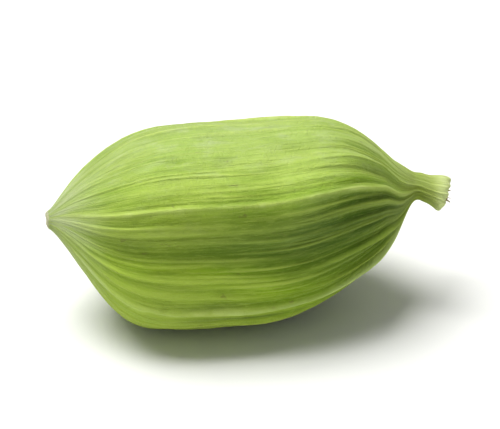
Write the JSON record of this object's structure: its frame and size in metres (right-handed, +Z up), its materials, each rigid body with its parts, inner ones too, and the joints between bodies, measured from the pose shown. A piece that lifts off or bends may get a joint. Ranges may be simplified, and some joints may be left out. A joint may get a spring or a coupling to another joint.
{
  "type": "green cardamom pod",
  "caption": "Whole dry green cardamom pod: a bluntly three-sided, ribbed capsule drawn in to a stalk scar at one end and a short hollow beak at the other, lying on its side.",
  "frame": {"origin": "on the surface that the pod lies on, under the middle of its box", "axes": "+X along the pod from the stalk scar to the beak, +Z up, -Y towards the side with the narrow valve between two close seams"},
  "size_m": [0.0186, 0.01, 0.0092],
  "materials": {
    "husk": "dry, fibrous, pale green with a faint satin sheen"
  },
  "bodies": {
    "root": {"cardamom_pod": "husk"}
  },
  "joints": []
}
